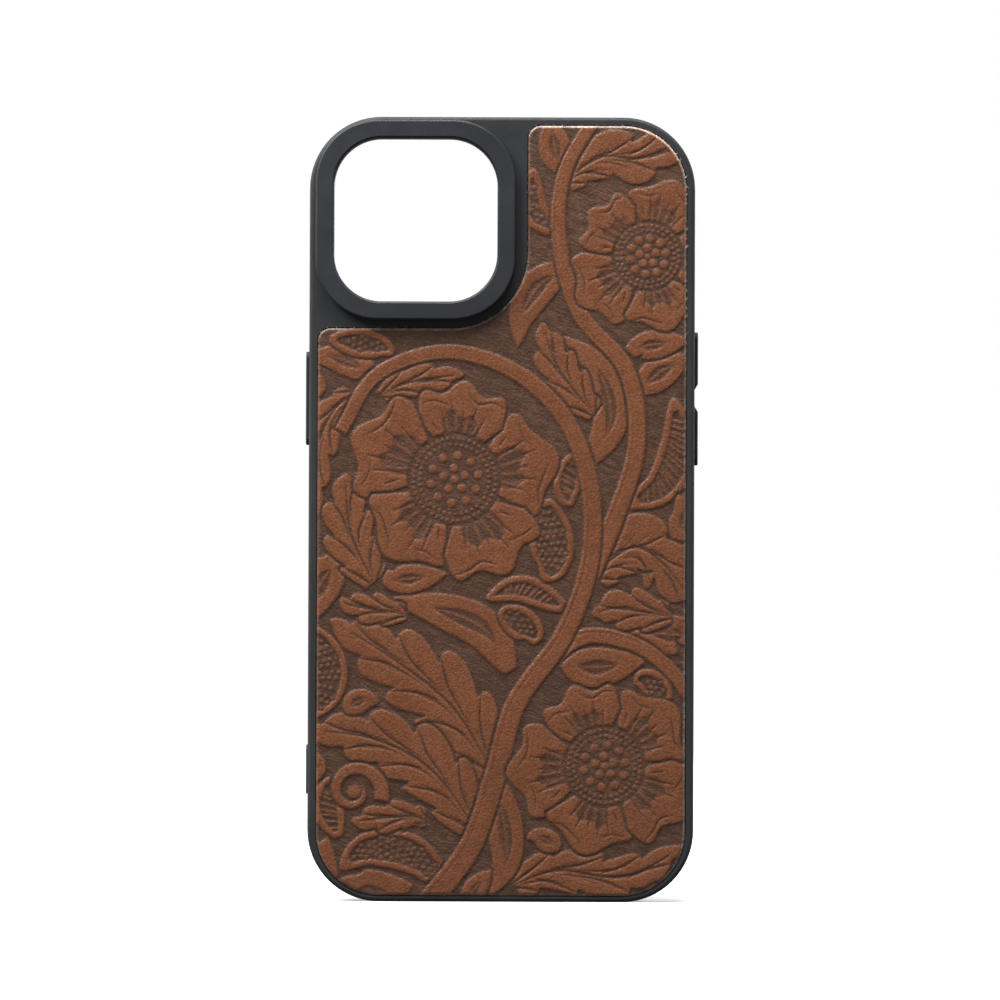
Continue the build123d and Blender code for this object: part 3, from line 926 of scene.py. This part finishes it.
def loose_fibres(panel_low):
    """Short hairs that stand off the raw cut edge, most of them along the top and the upper right."""
    rim, outward = panel_outline(0.0)
    vertices, faces = [], []
    for k in range(FIBRES):
        spot = int(len(rim) * (0.42 + 0.36 * ((k * 0.618) % 1))) % len(rim)
        lean = 0.9 * math.sin(k * 5.1)
        away, beside = outward[spot], np.array([-outward[spot][1], outward[spot][0]])
        length = 0.28 + 0.22 * math.sin(k * 3.7) ** 2
        depth = panel_low + 0.08 + 0.2 * ((k * 0.37) % 1)
        root = rim[spot] - away * 0.15
        bend = root + away * length * 0.6 + beside * lean * length * 0.3
        tip = root + away * length + beside * lean * length
        for a, b, wide in ((root, bend, 0.03), (bend, tip, 0.02)):
            start = len(vertices)
            for end, half in ((a, wide), (b, wide * 0.6)):
                for turn in (0, 1, 2):
                    angle = 2 * math.pi * turn / 3
                    place = end + beside * half * math.cos(angle)
                    vertices.append((place[0] * MM, (depth + half * math.sin(angle)) * MM, place[1] * MM))
            for t in range(3):
                after = (t + 1) % 3
                faces.append((start + t, start + after, start + 3 + after, start + 3 + t))
            faces += [(start + 2, start + 1, start), (start + 3, start + 4, start + 5)]
    add_piece("leather_edge_fibres", vertices, faces, raw_fibre())


# ==== microfibre lining

def rounded_loop(low, high, corner, step):
    """A rounded rectangle's outline, anticlockwise, with its outward directions."""
    points, outward = [], []
    spots = ((high[0], high[1], 0), (low[0], high[1], 90), (low[0], low[1], 180), (high[0], low[1], 270))
    for x, z, start in spots:
        inner_x = x - corner if x == high[0] else x + corner
        inner_z = z - corner if z == high[1] else z + corner
        turned = arc(inner_x, inner_z, corner, start, start + 90, step)
        if points:
            points.append(straight(points[-1][-1], turned[0], step))
        points.append(turned)
    points.append(straight(points[-1][-1], points[0][0], step))
    loop = np.concatenate(points)
    forward = np.roll(loop, -1, axis=0) - np.roll(loop, 1, axis=0)
    forward /= np.hypot(*forward.T)[:, None]
    return loop, np.stack([forward[:, 1], -forward[:, 0]], 1)


def straight(start, end, step):
    """The points between two places, without the places themselves."""
    count = max(2, math.ceil(np.hypot(*(end - start)) / step))
    return start + (np.arange(1, count) / count)[:, None] * (end - start)


def microfibre_sheet():
    """The lining: a soft die-cut sheet, bonded down, with its cut edges rolled a little."""
    low, high = (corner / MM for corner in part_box("microfibre_lining"))
    ring_low, ring_high = (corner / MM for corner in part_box("camera_guard_ring"))
    rim, away = rounded_loop((low.x, low.z), (high.x, high.z), LINING_CORNER, LINING_PITCH)
    hole_low = (ring_low.x + LINING_HOLE_MARGIN, ring_low.z + LINING_HOLE_MARGIN)
    hole_high = (ring_high.x - LINING_HOLE_MARGIN, ring_high.z - LINING_HOLE_MARGIN)
    hole, inward = rounded_loop(hole_low, hole_high, LINING_HOLE_CORNER, LINING_PITCH)
    loops = [rim, rim - away * LINING_ROLL, hole, hole + inward * LINING_ROLL]
    x, z = np.meshgrid(np.arange(low.x, high.x, LINING_PITCH), np.arange(low.z, high.z, LINING_PITCH))
    spread = inside(x, z, rim - away * LINING_PITCH) & ~inside(x, z, hole + inward * LINING_PITCH)
    places = np.concatenate(loops + [np.stack([x[spread], z[spread]], 1)])
    starts = np.cumsum([0] + [len(loop) for loop in loops])
    edges = [(a + k, a + (k + 1) % (b - a)) for a, b in zip(starts, starts[1:]) for k in range(b - a)]
    placed, _, found, origins, _, _ = delaunay_2d_cdt([Vector(p) for p in places], edges, [], 1, 1e-6)
    names = [o[0] for o in origins]
    middles = np.array([sum((placed[k] for k in t), Vector((0, 0))) / 3 for t in found])
    kept = ~inside_points(middles, hole)
    top = [[names[k] for k in t] for t, keep in zip(found, kept) if keep]
    swell = np.sin(places[:, 0] * 0.31 + 2 * np.sin(places[:, 1] * 0.17)) * np.sin(places[:, 1] * 0.23)
    depth = high.y - 0.03 + 0.03 * swell
    depth[:starts[1]] -= LINING_ROLL
    depth[starts[2]:starts[3]] -= LINING_ROLL
    count = len(places)
    vertices = [(p[0] * MM, d * MM, p[1] * MM) for p, d in zip(places, depth)]
    vertices += [(p[0] * MM, low.y * MM, p[1] * MM) for p in places]
    faces = [t[::-1] for t in top] + [[k + count for k in t] for t in top]
    for start, end, way in ((starts[0], starts[1], 1), (starts[2], starts[3], -1)):
        size = end - start
        for k in range(size):
            a, b = start + k, start + (k + 1) % size
            faces.append([a, b, b + count, a + count][::way])
    made = add_piece("microfibre_lining_sheet", vertices, faces, microfibre())
    made.data.polygons.foreach_set("use_smooth", [True] * len(faces))
    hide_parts("microfibre_lining")


# ==== carried-over CAD nodes

def finish_nodes():
    soft = moulded_plastic("soft_black_tpu", srgb(40, 41, 43), srgb(48, 49, 51), 0.52, specular=0.2)
    satin = (srgb(38, 39, 42), srgb(46, 47, 51))
    ring = moulded_plastic("ring_satin_black", *satin, 0.42, grain=3400, specular=0.22)
    glossy = (srgb(34, 34, 36), srgb(42, 42, 45))
    hard = moulded_plastic("hard_black_polycarbonate", *glossy, 0.35, grain=1800)
    chosen = {
        "bumper_frame": soft,
        "camera_guard_ring": ring,
        "back_plate": hard,
        "power_button": soft,
        "volume_up_button": soft,
        "volume_down_button": soft,
        "adhesive_film": adhesive(),
    }
    for name, made in chosen.items():
        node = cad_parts[name]
        node.data.materials.clear()
        node.data.materials.append(made)


# ==== studio

def lamp(name, place, aim, size, power):
    data = bpy.data.lights.new(name, "AREA")
    data.shape = "RECTANGLE"
    data.size, data.size_y = size
    data.energy = power
    made = bpy.data.objects.new(name, data)
    made.location = place
    made.rotation_euler = (Vector(aim) - Vector(place)).to_track_quat("-Z", "Y").to_euler()
    made.visible_camera = False
    bpy.context.scene.collection.objects.link(made)


def studio():
    """A white floor and background, with soft light mostly from above."""
    bpy.ops.mesh.primitive_plane_add(size=FLOOR_SIZE, location=(0, 0, 0))
    floor = bpy.context.active_object
    floor.name = "floor"
    floor.data.materials.append(studio_white())
    floor.visible_diffuse = False
    floor.visible_glossy = False
    middle = (cad_low + cad_high) / 2
    for name, place, size, power in LAMPS:
        lamp(name, place, middle, size, power)
    room()
    bpy.context.scene.view_settings.view_transform = "Standard"


def room():
    """A white background that lights the case only softly."""
    world = bpy.data.worlds.new("studio")
    world.use_nodes = True
    tree = world.node_tree
    tree.nodes["Background"].inputs["Strength"].default_value = AMBIENT
    seen = tree.nodes.new("ShaderNodeBackground")
    path = tree.nodes.new("ShaderNodeLightPath")
    both = tree.nodes.new("ShaderNodeMixShader")
    tree.nodes["Background"].inputs["Color"].default_value = (1, 1, 1, 1)
    seen.inputs["Color"].default_value = (1, 1, 1, 1)
    tree.links.new(path.outputs["Is Camera Ray"], both.inputs[0])
    tree.links.new(tree.nodes["Background"].outputs[0], both.inputs[1])
    tree.links.new(seen.outputs[0], both.inputs[2])
    tree.links.new(both.outputs[0], tree.nodes["World Output"].inputs["Surface"])
    bpy.context.scene.world = world


def camera():
    middle = (cad_low + cad_high) / 2
    aim = Vector((middle.x + AIM_ACROSS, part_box("leather_panel")[0].y, middle.z + AIM_ABOVE_MIDDLE))
    across, up = math.radians(CAMERA_AZIMUTH), math.radians(CAMERA_ELEVATION)
    back = Vector((math.sin(across) * math.cos(up), -math.cos(across) * math.cos(up), math.sin(up)))
    data = bpy.data.cameras.new("camera")
    data.lens = CAMERA_LENS
    data.sensor_width = CAMERA_SENSOR
    made = bpy.data.objects.new("camera", data)
    bpy.context.scene.collection.objects.link(made)
    look = (-back).to_track_quat("-Z", "Y").to_matrix().to_4x4()
    roll = Matrix.Rotation(math.radians(CAMERA_ROLL), 4, "Z")
    made.matrix_world = Matrix.Translation(aim + back * CAMERA_DISTANCE) @ look @ roll
    bpy.context.scene.camera = made


finish_nodes()
microfibre_sheet()
leather_panel()
loose_fibres(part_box("leather_panel")[0].y / MM)
studio()
camera()
